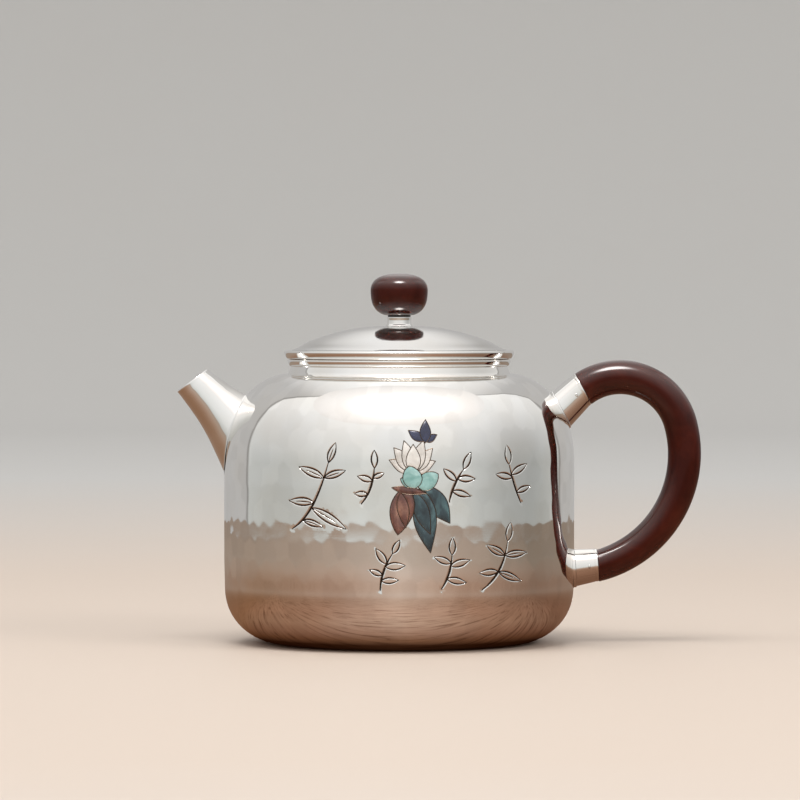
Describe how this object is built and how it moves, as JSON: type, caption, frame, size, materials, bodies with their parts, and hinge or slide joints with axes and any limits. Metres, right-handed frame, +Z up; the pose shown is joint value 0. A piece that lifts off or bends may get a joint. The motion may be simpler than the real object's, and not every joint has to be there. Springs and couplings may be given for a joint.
{
  "type": "teapot",
  "caption": "Round-shouldered metal teapot with a short conical spout, a C-shaped round handle and a lift-off lid with a ball knob.",
  "frame": {"origin": "centre of the flat base, on the surface the pot stands on", "axes": "+Z up along the pot's axis, +X towards the handle, so the spout points to -X and the decorated front faces -Y"},
  "size_m": [0.1311, 0.0877, 0.0922],
  "materials": {
    "hammered_silver": "mirror-polished silver with shallow hammer facets and fine engraved lines",
    "polished_silver": "smooth polished silver",
    "satin_silver": "satin silver",
    "lacquered_wood": "dark red-brown hardwood with a glossy lacquer",
    "navy_enamel": "glossy enamel",
    "white_enamel": "glossy enamel",
    "aqua_enamel": "glossy enamel",
    "teal_enamel": "glossy enamel",
    "brown_enamel": "glossy enamel",
    "steel": "plain steel"
  },
  "bodies": {
    "pot": {"body_shell": "hammered_silver", "mouth_collar": "polished_silver", "spout": "polished_silver", "spout_strainer": "satin_silver", "upper_socket_ring": "polished_silver", "upper_socket": "polished_silver", "upper_pin": "polished_silver", "lower_socket_ring": "polished_silver", "lower_socket": "polished_silver", "lower_pin": "polished_silver", "handle_grip": "lacquered_wood", "enamel_bud": "navy_enamel", "enamel_petals": "white_enamel", "enamel_sepals": "aqua_enamel", "enamel_leaf": "teal_enamel", "enamel_stem": "brown_enamel"},
    "lid": {"lid_cover": "polished_silver", "lid_edge_wire": "polished_silver", "lid_collar": "satin_silver", "knob_seat": "polished_silver", "knob_washer": "satin_silver", "knob": "lacquered_wood", "knob_screw": "steel", "screw_washer": "steel"}
  },
  "joints": [
    {"name": "lid_lift", "type": "slide", "parent": "pot", "child": "lid", "axis": [0, 0, 1], "range_m": [0, 0.06]}
  ]
}
